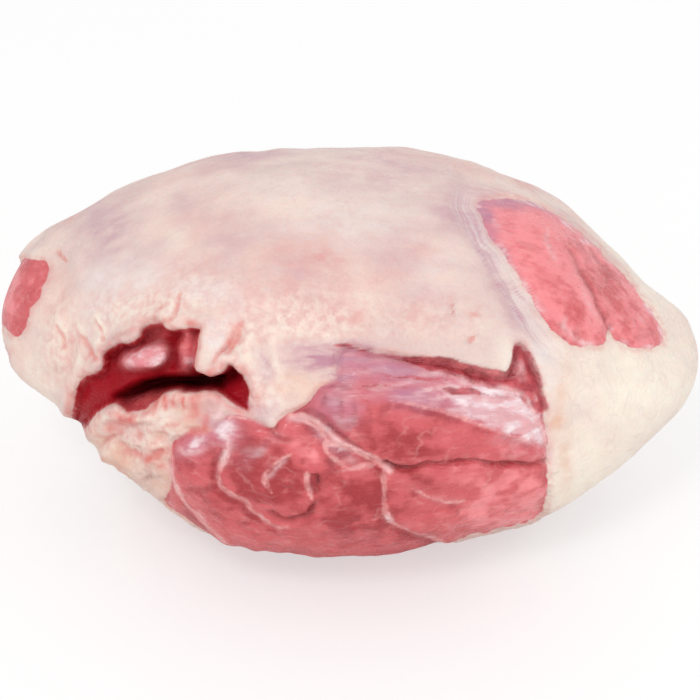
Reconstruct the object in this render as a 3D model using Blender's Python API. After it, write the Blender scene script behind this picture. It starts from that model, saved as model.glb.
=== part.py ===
"""A raw boneless leg of lamb, lying on its flat underside.

The leg is one closed skin. It starts as a ball, whose sections along X are stretched to the sizes
below. Fat, muscles, cuts and the pocket left by the bone are then pressed into it or raised from it.
Lengths are in metres, +Z is up, +X points to the rump end and -Y is the side with the cuts.
"""

import bmesh
import bpy
import numpy as np
from mathutils import Matrix

MM = 0.001

# Driving dimensions
HALF_LENGTH = 116.5 * MM
FAT = 3.0 * MM  # how far the fat stands above the bare muscle
WINDOW_FAT = 1.2 * MM  # the same at the trimmed window, where little fat is left
MOUTH_DEPTH = 9.0 * MM  # how far the ragged mouth of the bone's pocket is sunk into the skin
POCKET_DEPTH = 32.0 * MM  # how far the pocket goes in behind it
POCKET_HALF_WIDTH = 27.0 * MM
POCKET_HALF_HEIGHT = 8.5 * MM
POCKET_SLOPE = np.radians(10.0)  # how steeply it runs down into the meat
POCKET_TILT = np.radians(14.0)  # how its right end is raised
SURFACE_CELLS = 28  # cells along each side of the cube that the ball is made from

# Sections at stations along the leg, as shares of its half length: how far the skin lies above,
# below, before and behind the spine, and where the spine runs. All in millimetres.
STATIONS = (-1.0, -0.83, -0.66, -0.45, -0.2, 0.1, 0.4, 0.6, 0.78, 0.9, 1.0)
ABOVE = (68, 57, 61, 64, 63, 62, 60, 58, 46, 44, 48)
BELOW = (38, 38, 48, 60, 64, 65, 61, 58, 48, 43, 43)
BEFORE = (56, 57, 67, 78, 82, 82, 78, 75, 64, 57, 58)
BEHIND = (76, 70, 76, 78, 77, 76, 73, 71, 60, 55, 58)
SPINE_HEIGHT = (61, 60, 58, 57, 57, 57, 57, 57, 57, 56, 55)
SPINE_SWAY = (8, 7, 4, 1, 0, 0, 0, 0, -2, -1, 0)

# The cuts on the front are laid out on a flat card that leans back through the leg's middle, and
# carried to the skin along the lines that meet at one point in front of it. Card places are in
# millimetres, the first number to the right along X and the second up the card.
CARD_LEAN = np.radians(32.0)
CARD_HEIGHT = 55.5 * MM
EYE_DISTANCE = 669.0 * MM

BARE_MUSCLE = (
    (-18, -1), (0, 1), (20, -2), (40, -6), (53, -10), (59, 0), (64, -8), (69, -26), (70, -46),
    (62, -62), (40, -72), (0, -100), (-50, -85), (-66, -57), (-61, -38), (-56, -28), (-40, -24),
    (-30, -27), (-18, -20), (-3, -11), (-6, -5),
)
WINDOW = (
    (43, 51), (62, 50), (81, 39), (95, 25), (106, 8), (104, 0), (88, 2), (73, 3), (60, 21), (48, 39),
)
POCKET_MOUTH = (
    (-94, -20), (-90, -8), (-84, 0), (-74, 4), (-64, 8), (-54, 6), (-50, -4), (-46, -8), (-40, -4),
    (-35, -10), (-35, -20), (-46, -14), (-60, -14), (-74, -17), (-88, -24),
)
POCKET_MIDDLE = (-60, -10)
MUSCLE_CRACK = ((15, -39), (34, -38), (52, -39), (68, -38))
SEAMS = (
    ((-45, -27), (-44, -42), (-34, -49), (-27, -57), (-20, -58)),
    ((12, -38), (12, -50), (16, -56), (31, -62), (46, -65)),
    ((-21, -23), (-6, -26), (6, -34), (15, -39)),
)

# Where the ball's cells are drawn together: a direction from the middle, how strongly, how widely
CELL_LENSES = (((0.0, -0.95, 0.22), 0.36, 0.75), ((-0.50, -0.72, 0.46), 0.45, 0.40))

SIGHT = np.array([0.0, np.cos(CARD_LEAN), -np.sin(CARD_LEAN)])
CARD_UP = np.array([0.0, np.sin(CARD_LEAN), np.cos(CARD_LEAN)])
EYE = np.array([0.0, 0.0, CARD_HEIGHT]) - EYE_DISTANCE * SIGHT


def eased(value, low, high):
    """0 below low, 1 above high, and a smooth rise between them."""
    share = np.clip((value - low) / (high - low), 0, 1)
    return share * share * (3 - 2 * share)


def hump(distance, width):
    """1 at no distance, falling off as a bell curve."""
    return np.exp(-((distance / width) ** 2))


def profile(at, sizes):
    """A smooth curve through the sizes at the stations, in metres."""
    stations, sizes = np.array(STATIONS), np.array(sizes) * MM
    slopes = np.gradient(sizes, stations)
    left = np.clip(np.searchsorted(stations, at) - 1, 0, len(stations) - 2)
    gap = stations[left + 1] - stations[left]
    share = (at - stations[left]) / gap
    rise = share * share * (3 - 2 * share)
    return (
        sizes[left] * (1 - rise)
        + sizes[left + 1] * rise
        + slopes[left] * gap * share * (1 - share) ** 2
        - slopes[left + 1] * gap * share * share * (1 - share)
    )


def segments(line, closed):
    """Each straight run of a line on the card, as its two ends."""
    points = np.array(line, float)
    ends = np.roll(points, -1, axis=0)
    return list(zip(points, ends)) if closed else list(zip(points, ends))[:-1]


def distance_to(line, spots, closed=False):
    """How far each spot on the card is from a line, in millimetres."""
    nearest = np.full(len(spots), np.inf)
    for start, end in segments(line, closed):
        run = end - start
        share = np.clip((spots - start) @ run / (run @ run), 0, 1)
        nearest = np.minimum(nearest, np.linalg.norm(spots - start - share[:, None] * run, axis=1))
    return nearest


def depth_inside(outline, spots):
    """How far each spot lies inside a closed outline, in millimetres, and negative outside it."""
    inside = np.zeros(len(spots), bool)
    for start, end in segments(outline, closed=True):
        if start[1] == end[1]:
            continue
        spans = (start[1] > spots[:, 1]) != (end[1] > spots[:, 1])
        crossing = start[0] + (spots[:, 1] - start[1]) / (end[1] - start[1]) * (end[0] - start[0])
        inside ^= spans & (spots[:, 0] < crossing)
    return np.where(inside, 1, -1) * distance_to(outline, spots, closed=True)


def ball():
    """A cube cut into equal cells and blown up into a ball, with its cells drawn together at the front."""
    mesh = bmesh.new()
    bmesh.ops.create_cube(mesh, size=2.0)
    bmesh.ops.subdivide_edges(mesh, edges=mesh.edges, cuts=SURFACE_CELLS - 1, use_grid_fill=True)
    points = np.tan(np.array([v.co for v in mesh.verts]) * np.pi / 4)
    points /= np.linalg.norm(points, axis=1, keepdims=True)
    for direction, pull, width in CELL_LENSES:
        middle = np.array(direction) / np.linalg.norm(direction)
        away = np.linalg.norm(points - middle, axis=1, keepdims=True)
        points += pull * hump(away, width) * (middle - points)
        points /= np.linalg.norm(points, axis=1, keepdims=True)
    return mesh, points


def plain_body(points):
    """The ball stretched to the leg's sections, and the way out of the skin at each point."""
    at = points[:, 0]
    wide = np.where(points[:, 1] < 0, profile(at, BEFORE), profile(at, BEHIND))
    tall = np.where(points[:, 2] > 0, profile(at, ABOVE), profile(at, BELOW))
    sway, height = profile(at, SPINE_SWAY), profile(at, SPINE_HEIGHT)
    places = np.stack([HALF_LENGTH * at, sway + points[:, 1] * wide, height + points[:, 2] * tall], axis=1)
    out = np.stack([at / HALF_LENGTH, points[:, 1] / wide, points[:, 2] / tall], axis=1)
    return places, out / np.linalg.norm(out, axis=1, keepdims=True)


def on_card(places):
    """Where each place falls on the card, in millimetres."""
    line = places - EYE
    reach = EYE_DISTANCE / (line @ SIGHT)
    return np.stack([line[:, 0] * reach, (line @ CARD_UP) * reach], axis=1) / MM


def front_share(places, out):
    """1 where the skin faces the card's viewing point, 0 where it is turned away."""
    line = EYE - places
    return eased(np.sum(out * line, axis=1) / np.linalg.norm(line, axis=1), -0.10, 0.06)


def relief(spots, front):
    """How far the skin stands out at each point: the fat, the muscles' swell, their seams and cuts."""
    bare = depth_inside(BARE_MUSCLE, spots)
    window = depth_inside(WINDOW, spots)
    height = FAT * (1 - front * eased(bare, -3, 3)) * (1 - front * eased(window, -12, -4))
    height += WINDOW_FAT * front * eased(window, -12, -4) * (1 - eased(window, -3, 2))
    crack = distance_to(MUSCLE_CRACK, spots)
    height += front * MM * (2.0 * (1 - np.exp(-crack / 6)) * hump(crack, 16) - 3.0 * hump(crack, 3.5))
    for seam in SEAMS:
        height -= front * 0.8 * MM * hump(distance_to(seam, spots), 3.0)
    under_fat = hump(bare - 2, 3.5) * eased(spots[:, 1], -46, -20) * eased(spots[:, 0], -22, -6)
    mouth = eased(depth_inside(POCKET_MOUTH, spots), -1, 8)
    return height - front * (2.5 * MM * under_fat + MOUTH_DEPTH * mouth)


def pocket_cutter(middle):
    """A flattened ball, as wide, deep and high as the bone's pocket, run down into the meat."""
    size = Matrix.Diagonal((POCKET_HALF_WIDTH, POCKET_DEPTH, POCKET_HALF_HEIGHT, 1.0))
    turn = Matrix.Rotation(-POCKET_SLOPE, 4, "X") @ Matrix.Rotation(-POCKET_TILT, 4, "Y")
    mesh = bmesh.new()
    bmesh.ops.create_uvsphere(mesh, u_segments=32, v_segments=16, radius=1.0)
    mesh.transform(Matrix.Translation(middle) @ turn @ size)
    cutter = linked("pocket_cutter", mesh)
    cutter.hide_render = True
    cutter.display_type = "WIRE"
    return cutter


def linked(name, mesh):
    """A new smooth-shaded object in the scene that holds this mesh."""
    data = bpy.data.meshes.new(name)
    mesh.to_mesh(data)
    mesh.free()
    data.shade_smooth()
    thing = bpy.data.objects.new(name, data)
    bpy.context.scene.collection.objects.link(thing)
    return thing


def meat_material():
    """Moist raw meat, mostly under pale fat."""
    material = bpy.data.materials.new("raw_lamb")
    material.use_nodes = True
    shader = material.node_tree.nodes["Principled BSDF"]
    shader.inputs["Base Color"].default_value = (0.80, 0.50, 0.45, 1.0)
    shader.inputs["Roughness"].default_value = 0.42
    shader.inputs["Metallic"].default_value = 0.0
    return material


def leg_of_lamb():
    """The whole leg as one object, resting on z = 0 with its box centred on the origin."""
    mesh, points = ball()
    places, out = plain_body(points)
    spots, front = on_card(places), front_share(places, out)
    places += out * relief(spots, front)[:, None]
    places[:, 2] = np.maximum(places[:, 2], 0)
    middle = (places.min(axis=0) + places.max(axis=0)) / 2
    places[:, :2] -= middle[:2]
    for vertex, place in zip(mesh.verts, places):
        vertex.co = place
    bmesh.ops.recalc_face_normals(mesh, faces=mesh.faces)
    leg = linked("lamb_leg", mesh)
    leg.data.materials.append(meat_material())
    to_mouth = np.linalg.norm(spots - POCKET_MIDDLE, axis=1) + 1000 * (1 - front)
    cut = leg.modifiers.new("bone_pocket", "BOOLEAN")
    cut.operation = "DIFFERENCE"
    cut.object = pocket_cutter(places[np.argmin(to_mouth)])


for leftover in list(bpy.data.objects):
    bpy.data.objects.remove(leftover)
leg_of_lamb()
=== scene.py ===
"""The looks of a raw boneless leg of lamb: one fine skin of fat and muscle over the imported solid.

Lengths are in metres unless a name or a comment says millimetres. +Z is up, +X points to the rump
end and -Y is the side with the cuts.
"""

import bpy
import numpy as np
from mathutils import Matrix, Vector


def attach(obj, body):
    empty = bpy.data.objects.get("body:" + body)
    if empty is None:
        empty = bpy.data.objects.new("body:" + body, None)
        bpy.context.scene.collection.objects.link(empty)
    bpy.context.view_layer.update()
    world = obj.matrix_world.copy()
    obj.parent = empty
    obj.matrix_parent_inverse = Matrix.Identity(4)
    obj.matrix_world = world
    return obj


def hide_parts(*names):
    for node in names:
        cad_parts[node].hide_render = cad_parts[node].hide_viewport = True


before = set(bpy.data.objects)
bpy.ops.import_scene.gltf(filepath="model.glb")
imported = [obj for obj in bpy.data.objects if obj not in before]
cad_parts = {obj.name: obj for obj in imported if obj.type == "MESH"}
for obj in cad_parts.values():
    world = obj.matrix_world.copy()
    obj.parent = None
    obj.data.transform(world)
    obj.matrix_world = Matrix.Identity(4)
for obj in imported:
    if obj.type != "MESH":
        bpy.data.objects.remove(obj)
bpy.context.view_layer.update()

MM = 0.001

# ---------------------------------------------------------------- sizes of the plain body

HALF_LENGTH = 117.4 * MM
SKIN_CELLS = 128  # cells along each side of the cube that the skin is made from

# Sections at stations along the leg, as shares of its half length: how far the skin lies above,
# below, before and behind the spine, and where the spine runs. All in millimetres.
STATIONS = (-1.0, -0.83, -0.66, -0.45, -0.2, 0.1, 0.4, 0.6, 0.78, 0.9, 1.0)
ABOVE = (76, 60, 63, 65.5, 64, 63, 62, 59, 46, 44, 50)
BELOW = (38, 38, 50, 60, 62, 62, 59, 58, 51, 47, 46)
BEFORE = (56, 57, 69, 78, 81, 80, 77, 75, 66, 60, 58)
BEHIND = (76, 70, 76, 78, 77, 76, 73, 71, 60, 55, 58)
SPINE_HEIGHT = (61, 60, 58, 57, 57, 57, 57, 57, 57, 56, 55)
SPINE_SWAY = (8, 7, 4, 1, 0, 0, 0, 0, -2, -1, 0)

# The cuts on the front are laid out on a flat card that leans back through the leg's middle, and
# carried to the skin along the lines that meet at one point in front of it. Card places are in
# millimetres, the first number to the right along X and the second up the card.
CARD_LEAN = np.radians(32.0)
CARD_HEIGHT = 55.5 * MM
EYE_DISTANCE = 669.0 * MM
SIGHT = np.array([0.0, np.cos(CARD_LEAN), -np.sin(CARD_LEAN)])
CARD_UP = np.array([0.0, np.sin(CARD_LEAN), np.cos(CARD_LEAN)])
EYE = np.array([0.0, 0.0, CARD_HEIGHT]) - EYE_DISTANCE * SIGHT

# ---------------------------------------------------------------- layout of the front, on the card

BARE_MUSCLE = (
    (-4, -1.5), (-1, 0), (2, 0), (9, -1), (17, -2), (27.5, -3.5), (38, -6), (46.5, -9),
    (53, -10), (56, -7.5), (57, -2), (58, 1.5), (60.5, -0.5), (62.7, -6), (65, -12), (66.3, -17),
    (66.3, -24), (67.2, -31), (67.4, -40), (67.2, -47), (65.3, -53.5), (61, -59), (54.5, -62.5), (46, -65), (39, -68.5),
    (31, -86),
    (0, -100), (-34, -93), (-60, -72), (-66, -57), (-64.5, -51.5), (-61.5, -45), (-61.5, -33),
    (-58.5, -29.5), (-53.5, -27), (-50, -28), (-45.5, -25.5), (-41, -22), (-35, -22.8), (-30, -25.2),
    (-26.5, -26.5), (-24, -23.5), (-20.5, -21.2), (-16.5, -19.5), (-13, -17), (-10.5, -13.5), (-5.5, -11), (-4, -7),
)
WINDOW = (
    (43.5, 51), (51.5, 51.5), (62, 50.5), (72.5, 46), (81, 39), (88.5, 32), (95.5, 25), (101.5, 16),
    (106, 8.5), (107, 2.5), (103, 0), (95.5, 0.5), (91.5, 3), (88.4, 7), (87, 2), (79, 1), (73, 3.5), (67, 9.5),
    (60.5, 20.5), (53.5, 31.5), (47.5, 39.5),
)
SHANK_CUT = (
    (-124, 17), (-119.5, 24), (-117, 29.5), (-113.5, 33), (-109.5, 30.5), (-103.5, 29.5), (-104, 23.5),
    (-107.5, 17), (-110, 10.5), (-112.5, 5), (-117, 8.5),
)
POCKET_MOUTH = (
    (-94, -25), (-94.5, -19), (-93, -11), (-89.5, -8), (-85, -6.5), (-84, -1), (-79, 2), (-73, 3),
    (-70.5, 7.5), (-64, 8.5), (-61.5, 7), (-55, 7), (-50.5, 7), (-51, 2.5), (-52, -5.5), (-47.5, -9),
    (-43, -7.5), (-40, -5.2), (-36.5, -8.5), (-34.5, -12), (-34, -21), (-37, -20), (-42, -16.5),
    (-47, -14), (-53.5, -15), (-60.5, -14), (-68, -19), (-75.5, -21), (-80, -18), (-86, -21), (-90, -26),
)
POCKET_SLIT = ((-80, -17.5), (-72, -13.5), (-63.5, -11.8), (-55, -11.8), (-46.5, -10.8), (-40.5, -8.2), (-38.5, -6.5))
CRACK = (
    (12, -37.5), (15, -39), (20.5, -39.5), (26, -38.5), (34.5, -38), (43, -38), (51.5, -39), (60.5, -39),
    (68, -38),
)
CRESCENT = ((-11.5, -50.5), (-14.5, -54), (-18, -55.5), (-22.5, -56), (-26.5, -54))
SILVERSKIN = (
    (-19, -1), (-7, 2), (17, -1), (38, -5), (52, -9), (62, -16.5), (67, -27.5), (64.5, -32.5), (55, -28.5),
    (45, -25.5), (35, -22), (25, -19.5), (13, -17), (7, -19), (-1, -27.5), (-7.5, -20.5), (-10, -12),
    (-19, -4),
)

# The white seams between muscles: the route, the half width of the white film in millimetres, how
# deep the valley beside it is, and how much higher the side on its left lies as it runs.
SEAMS = (
    (((-6, -27), (-8.5, -33), (-3.5, -37.5)), 0.6, 0.8, 0.5),
    (((-41.4, -31), (-41.8, -35.5), (-44.6, -39.8), (-44.4, -43.5), (-42.3, -46.5), (-35.8, -50), (-32.7, -53.7), (-27.5, -57.5),
      (-20, -58.5)), 0.95, 1.6, 0.9),
    (((-62.3, -30), (-61.6, -38), (-59.6, -46), (-57.5, -50), (-51.3, -56.5), (-40.3, -63.7)), 0.85, 1.2, 0.6),
    (((-20, -34.8), (-27, -39.6), (-29, -42.7), (-25.8, -46.8)), 0.75, 1.2, -0.6),
    (((-14.8, -40.6), (-14.8, -43.7), (-12.7, -48.5)), 0.7, 1.2, -0.8),
    (((11.4, -38.6), (11.7, -46), (11.7, -51.3), (13, -55.8), (19.6, -60), (27, -62.3), (35, -64.7)), 0.8, 1.3, 0.7),
    (((20.3, -46), (28, -49.3), (34, -51), (39.6, -49.6)), 0.35, 0.4, 0.3),
    (((-20.7, -21.7), (-12.7, -24), (-7.6, -29), (-0.7, -33), (8.3, -36.5), (14, -40.6)), 1.35, 0.8, 1.2),
    (((-4.8, -36.8), (0.3, -40), (4, -39), (8.3, -38.6)), 0.45, 0.8, -0.6),
    (((-48.2, -27), (-42.3, -23), (-33.7, -22.7), (-28.6, -24.8), (-24.4, -29)), 0.6, 0.9, -0.4),
    (((13, -17), (25, -19.3), (35, -22), (45, -25.5), (55, -28.6), (64.4, -32.4)), 0.4, 0.3, 0.3),
    (((46.5, -9.5), (54, -12), (60, -17), (65, -25), (67.5, -34)), 0.6, 0.3, 0.2),
)
# Ridges of fat on the lower lip of the pocket and beside the muscles: the route, half width and height
RIDGES = (
    (((-86, -31), (-77, -38), (-68, -46)), 1.4, 1.3), (((-80, -30), (-70, -32.5), (-60, -31), (-52, -27.5)), 1.5, 1.3),
    (((-72, -49), (-67, -42), (-63.5, -33)), 1.1, 1.0), (((-90, -26), (-81, -21.5), (-71, -22.5), (-60, -20)), 1.0, 0.9),
    (((-78, -45), (-70, -39), (-60, -36)), 1.1, 0.9), (((-57, -22), (-54, -26), (-56, -31)), 1.2, 1.0),
    (((-100, 16), (-97, 4), (-99, -8)), 1.6, 1.1), (((-92, 12), (-91, 2), (-94, -8)), 1.5, 1.1),
    (((-87, 14), (-84, 6), (-85, 0)), 1.3, 0.9), (((-33, 8), (-35, -2), (-31, -10), (-27, -20)), 1.8, 0.9),
    (((-24, 10), (-26, 0), (-22, -12)), 1.6, 0.6),
)
# Brush-like strokes of colour: the route, the half width in millimetres and the strength
STROKES = {
    # Dark red strokes: partly dark meat, partly painted shade beside seams, under the fat's edge and in corners
    "dark_red_and_shade": (
        (((-20, -20), (-15.3, -21), (-10.6, -23.2), (-5.8, -26.3), (-0.5, -30), (6, -33.5)), 0.7, 0.75),
        (((-13.5, -41.6), (-12.7, -45.8), (-11.6, -48)), 1.0, 0.7), (((-48, -32), (-46, -38), (-45.7, -45)), 0.9, 0.5),
        (((-57.5, -46.4), (-52.2, -47.4), (-47, -46.4), (-45.2, -45.2)), 0.6, 0.6),
        (((-27.4, -26.8), (-23.2, -29.5)), 0.6, 0.5), (((-16, -36), (-15.6, -38)), 1.2, 0.45),
        (((-8.5, -36.3), (-5.8, -39.5), (-6.3, -42.5)), 1.5, 0.4), (((-13, -46), (-9.5, -43.7), (-6.3, -41)), 2.0, 0.35),
        (((-26, -48), (-25.4, -49)), 0.9, 0.6), (((-22.7, -45), (-19.5, -45.3)), 0.5, 0.5),
        (((-44, -49), (-36.5, -52), (-32, -56.5)), 1.4, 0.3), (((-9, -13.2), (-5, -12.6), (1, -13)), 0.6, 0.5),
        (((-8, -13.5), (-8.6, -17), (-9.5, -20.5)), 1.0, 0.5), (((-3.2, -15.8), (-2.7, -23)), 1.1, 0.45),
        (((1.1, -15.8), (1.6, -25.4)), 0.7, 0.4), (((-3.6, 1), (2, 0.5), (8, -0.6)), 0.5, 0.8),
        (((20, -3.2), (27, -3), (35, -3.2), (41, -5.2), (46, -6), (52, -7)), 0.5, 0.5),
        (((13.7, -17.3), (11.7, -21.4), (8.2, -25.4)), 1.6, 0.35), (((49, -15.3), (55, -16.8)), 0.6, 0.4),
        (((61, -4), (63.5, -9.5), (66, -16)), 0.8, 0.5), (((54.5, -7.5), (56.3, -2.5), (58, 1)), 0.6, 0.4),
        (((14, -37.3), (17.8, -39), (21.8, -38.6)), 1.0, 0.8), (((45, -38.5), (53, -39.2), (60, -39), (64, -38)), 0.5, 0.5),
        (((64.7, -39.6), (66.5, -42.6)), 0.9, 0.5), (((36.3, -53.3), (36.8, -54.2)), 0.9, 0.6),
        (((52.4, -52.5), (53, -53)), 0.6, 0.45), (((42.3, -51.5), (42.8, -52)), 0.5, 0.4), (((0.3, -41), (0.6, -45)), 0.5, 0.4),
        (((13.2, -61.3), (21.8, -61.8), (27.9, -64)), 1.5, 0.35), (((20, -41.5), (25, -43.6), (32, -46.6)), 1.8, 0.3),
        (((34.5, -38.5), (36, -37), (39, -38.5)), 0.6, 0.45), (((73.8, 33.4), (78.4, 26.5), (81.2, 20.8), (84.1, 15.1), (86.4, 9.4)), 0.6, 0.35),
        (((79.5, 28.8), (84.5, 33.4)), 0.8, 0.28), (((79.5, 27.5), (85.8, 27), (93.8, 23)), 0.7, 0.22),
        (((86.4, 9.8), (88.7, 12.2)), 0.55, 0.6), (((87.2, 9.4), (89.4, 6.5)), 0.6, 0.4), (((95.5, 2.5), (104.5, 5.5)), 1.0, 0.3),
        (((76, 6.5), (79, 2.8)), 0.8, 0.45), (((54.2, 31), (59.8, 23), (67.5, 12.8), (72, 7)), 0.6, 0.25),
        (((-71.8, -43.6), (-64.1, -43)), 0.7, 0.45), (((-62, -31.2), (-59, -29.4), (-56.5, -30)), 0.9, 0.5),
        (((-84, 1), (-79, 4.2), (-73, 5)), 0.7, 0.35), (((-71, 6.5), (-67, 9.6), (-62.5, 9)), 0.6, 0.3),
        (((-100.5, -7), (-98.5, -4)), 0.7, 0.3), (((-60.5, 2), (-60, -4), (-58.8, -8)), 0.8, 0.5),
    ),
    # Pale pink-white strokes: white film along the seams and beside the window, and in places painted highlights on the
    # seams
    "pale": (
        (((-41, -29), (-41.6, -34.5), (-44, -39)), 1.5, 0.8), (((-17.5, -21.7), (-10.5, -24), (-5, -29), (1, -33), (8, -36)), 1.1, 0.7),
        (((12.2, -54.5), (13.8, -57.2)), 1.1, 0.8), (((11.6, -38.8), (15, -40.4)), 1.1, 0.7),
        (((-20, -35.3), (-23.7, -38.4), (-26.6, -41.8), (-29, -42.6)), 0.8, 0.5),
        (((19.3, -44.6), (24.8, -48.4), (30, -50.2), (36, -50.8), (39.5, -49.4)), 1.3, 0.15),
        (((64.8, -23), (67.3, -30.5), (68.2, -37), (69, -41)), 1.5, 0.75),
        (((47, -12.8), (53.6, -13.3), (59.7, -16.3), (63.7, -21.4)), 1.0, 0.8),
        (((26.9, -7.4), (34.9, -8.9), (42, -10.5), (47, -12.4)), 0.7, 0.6), (((9, -12), (14, -13.3)), 0.5, 0.4),
        (((20.8, -14.8), (27.9, -14.3), (30.9, -17.3)), 0.5, 0.4), (((-2.6, -40.4), (2, -39.8), (8, -39.3)), 0.5, 0.5),
        (((58, -3), (58.8, -7), (59.3, -11)), 1.2, 0.55), (((63.7, -13.5), (64.4, -18)), 0.6, 0.45),
        (((27.9, -37.6), (31.4, -36.6)), 0.6, 0.4), (((38.5, -34.5), (39.3, -36.6)), 0.6, 0.4),
        (((49.3, 44.8), (50.4, 41.4)), 0.8, 0.6), (((51.8, 38), (53, 33.5), (57, 26), (63, 18.2), (68, 12)), 0.5, 0.6),
        (((67.5, 41.4), (67.8, 35.7), (71, 30)), 0.8, 0.5), (((79, 22), (81.2, 16.2), (84.5, 10)), 0.9, 0.45),
        (((73.3, 11.7), (73.6, 7), (80, 2), (87, 1.4)), 0.8, 0.6), (((98, 12), (101, 8)), 0.6, 0.35),
        (((-68, -60), (-60, -66), (-48, -72)), 0.8, 0.3), (((-61.5, -36), (-60, -45), (-57.5, -50)), 1.2, 0.5),
        (((-50.5, -31), (-49.3, -28)), 0.6, 0.5), (((-44, -17.5), (-44, -21), (-47.5, -25)), 0.8, 0.7),
        (((-43, -23), (-38.5, -21.8), (-33, -22.8)), 0.6, 0.5),
    ),
    "red": (
        (((-83.5, -26.4), (-77.5, -23.8), (-71, -22.2)), 1.9, 1.0), (((-71, -38), (-66.3, -35.3), (-63.6, -32.4)), 2.0, 0.9),
        (((-68, -38.6), (-63, -39.8)), 0.7, 0.6), (((-64.5, -15.5), (-66, -21.5)), 0.8, 0.9), (((-61.6, -14.6), (-62.2, -20.5)), 0.7, 0.9),
        (((-59, -14.6), (-59.2, -20)), 0.6, 0.8), (((-55.6, -15), (-56.2, -20.5)), 0.8, 0.9), (((-53, -15.5), (-51.4, -23)), 1.6, 0.8),
        (((-56, -27.5), (-50.4, -27.4), (-48.6, -21)), 1.5, 0.7), (((-38.8, 8), (-41.2, 1.8), (-44.2, -2.6), (-47, -7)), 0.9, 0.8),
        (((-55, -12), (-49, -9.6), (-45, -5.6)), 1.5, 0.55), (((-93, 10), (-91, -1)), 0.6, 0.4), (((-96.5, -1), (-94, -7.5)), 0.6, 0.45),
        (((-90, -3.5), (-86.5, 0.5)), 0.8, 0.45), (((-79, 4.5), (-72, 6.5)), 0.8, 0.4), (((-65, 12), (-61, 15)), 0.6, 0.5),
        (((-95, -13), (-95.5, -20), (-95, -24)), 0.9, 0.5), (((-87, -33), (-82, -35)), 1.0, 0.4),
        (((-72, -17.4), (-66, -16), (-62, -14.6)), 1.0, 0.6), (((-80, -29), (-84, -31.5)), 1.2, 0.5),
        (((-74, -29), (-70, -28)), 0.9, 0.45), (((-62, -25), (-57, -25)), 0.9, 0.45),
    ),
    "lilac_line": (
        (((53.8, 24.2), (59.6, 17.4), (65, 11)), 0.5, 0.8), (((41.3, 39.7), (47.6, 26.5), (55.6, 15.1)), 0.5, 0.6),
        (((45.8, 28.8), (51, 22), (58.4, 10.5), (61.8, 3.7)), 0.5, 0.7), (((53.8, 23.2), (55.5, 20.6)), 0.6, 0.7),
        (((43, 47), (45, 38), (50, 29)), 0.5, 0.6), (((-20, -1.6), (-12, 0.6), (-6, 1.2)), 0.5, 0.6),
        (((-24, -5), (-17, -4), (-9, -4.6)), 0.6, 0.5), (((-31, -1), (-28, -5), (-26, -9)), 0.6, 0.6),
        (((-34, -7), (-30.5, -10)), 0.5, 0.4), (((-29, -23.5), (-32, -20), (-37, -17)), 0.5, 0.4),
    ),
}
# Dark red meat that shows between the fat's edge and the silverskin
RED_WEDGE = (
    (18, -2.6), (31, -2.4), (43, -5.5), (53.4, -7.2), (55.8, -0.7), (57.5, 1.6), (61.3, -0.7), (64.5, -8), (66.5, -14),
    (67.5, -20.5), (63.7, -21), (56.8, -15), (48.2, -12.4), (40, -10.6), (31, -8.2), (24, -5.6),
)
# Thin red strips of meat between layers of film: the route and the half width in millimetres
RED_STRIPS = (
    (((31, -13.5), (39, -14), (48, -15.2)), 1.1),
    (((-7.5, 1), (-1, 1), (6, -0.6)), 0.45),
    (((10, -8.8), (22, -9.8), (34, -10.6)), 0.4),
    (((4, -13), (12, -12.4), (20, -13)), 0.35),
)
# Folds in the window and other small creases: the route and the depth in millimetres
CREASES = (
    (((74, 37), (79, 28), (84.5, 17), (88.5, 4)), 0.9),
    (((82, 35), (89, 27), (86, 21)), 0.6),
    (((66, 40.5), (70, 32.5)), 0.4),
    (((90, 2), (88, 7), (91, 10)), 0.6),
    (((98, 6), (104, 7)), 0.4),
    (((72, 10), (75, 4)), 0.5),
    (((-19, -20.5), (-12, -21), (-5, -26.5), (4, -33)), 0.8),
    (((-12.5, -40.5), (-11, -43), (-10.5, -46)), 1.6),
    (((-56, -45.8), (-50, -46.2), (-46, -45)), 0.7),
    (((-66, -36.5), (-61, -39)), 0.8),
    (((-83, -28), (-74, -25), (-66, -24.5)), 0.9),
    (((-76, -37), (-70, -31), (-60, -27)), 0.8),
    (((-72, -45), (-66, -39), (-64, -32)), 0.7),
    (((-16, 12), (-14, 6), (-15, 2)), 0.5),
    (((-6, 14), (-4, 8), (-7, 4)), 0.4),
    (((-45, -46.5), (-52, -46), (-56, -47)), 0.6),
    (((-30, -25), (-24, -30), (-19, -31)), 0.6),
    (((-38.5, 7), (-41.4, 1.6), (-44.4, -3)), 1.6),
    (((-30, -3), (-27.5, -8), (-29, -14), (-31, -19)), 0.7),
    (((-22, -4), (-25, -10), (-24, -16)), 0.6),
    (((-34, -14), (-31, -20), (-28, -23)), 0.6),
    (((38, -54), (39, -56)), 0.9),
    (((70, -43), (69, -41)), 0.9),
)
# Small nicks and torn places in the fat: the route and the half width in millimetres. The pink in them is partly
# painted shade in the grooves between folds
NICKS = (
    (((-99, 8), (-97, 3), (-97.5, 0)), 0.6),
    (((-91, 5), (-88, 0), (-86.5, -3)), 0.7),
    (((-86, 9), (-83, 4)), 0.5),
    (((-57, 18), (-59, 11), (-63, 8)), 0.6),
    (((-36.5, 8), (-39, 3), (-41, -2)), 0.8),
    (((35.5, 14.5), (35, 12)), 0.5),
    (((42, 4), (40.5, 2.5)), 0.8),
    (((-99.5, 33.5), (-97.5, 31)), 0.6),
    (((-77, -35), (-72, -36.5)), 0.8),
    (((-84, -31), (-78, -28)), 0.8),
)


# ---------------------------------------------------------------- curves, distances and noise

def eased(value, low, high):
    """0 below low, 1 above high, and a smooth rise between them: 3 s^2 - 2 s^3."""
    share = np.clip((value - low) / (high - low), 0, 1)
    return share * share * (3 - 2 * share)


def hump(distance, width):
    """A bell curve: e to the minus (distance over width) squared."""
    return np.exp(-((distance / width) ** 2))


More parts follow.
